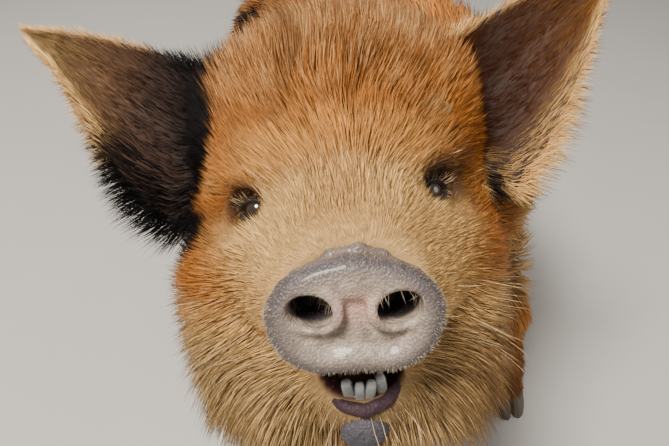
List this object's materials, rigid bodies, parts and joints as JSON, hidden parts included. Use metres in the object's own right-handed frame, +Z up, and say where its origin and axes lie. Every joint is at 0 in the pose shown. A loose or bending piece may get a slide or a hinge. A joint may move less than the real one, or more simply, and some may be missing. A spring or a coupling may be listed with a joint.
{
  "type": "kunekune pig",
  "caption": "Life-size standing kunekune pig, ginger, cream and black, with a long coat, tassels under the jaw and its head raised and turned slightly to its right.",
  "frame": {"origin": "middle of the bounding box in plan, at the level of the soles of the hooves", "axes": "+Z up, -Y the way the pig faces, +X its left side"},
  "size_m": [0.6278, 1.1279, 0.6663],
  "materials": {
    "coat": "matte hair",
    "nose_skin": "damp skin",
    "horn": "worn horn",
    "teeth": "enamel",
    "eyes": "wet",
    "skin": "bare skin"
  },
  "bodies": {
    "root": {"torso": "coat", "neck": "coat", "head": "coat", "ear_left": "coat", "ear_right": "coat", "tail": "coat", "tassel_left": "coat", "tassel_right": "coat", "foreleg_right": "coat", "foreleg_left": "coat", "hindleg_right": "coat", "hindleg_left": "coat", "foreleg_right_claw_left": "horn", "foreleg_right_dewclaw_left": "horn", "foreleg_right_claw_right": "horn", "foreleg_right_dewclaw_right": "horn", "foreleg_left_claw_left": "horn", "foreleg_left_dewclaw_left": "horn", "foreleg_left_claw_right": "horn", "foreleg_left_dewclaw_right": "horn", "hindleg_right_claw_left": "horn", "hindleg_right_dewclaw_left": "horn", "hindleg_right_claw_right": "horn", "hindleg_right_dewclaw_right": "horn", "hindleg_left_claw_left": "horn", "hindleg_left_dewclaw_left": "horn", "hindleg_left_claw_right": "horn", "hindleg_left_dewclaw_right": "horn", "snout_disc": "nose_skin", "teeth": "teeth", "eye_left": "eyes", "eye_right": "eyes"}
  },
  "joints": []
}
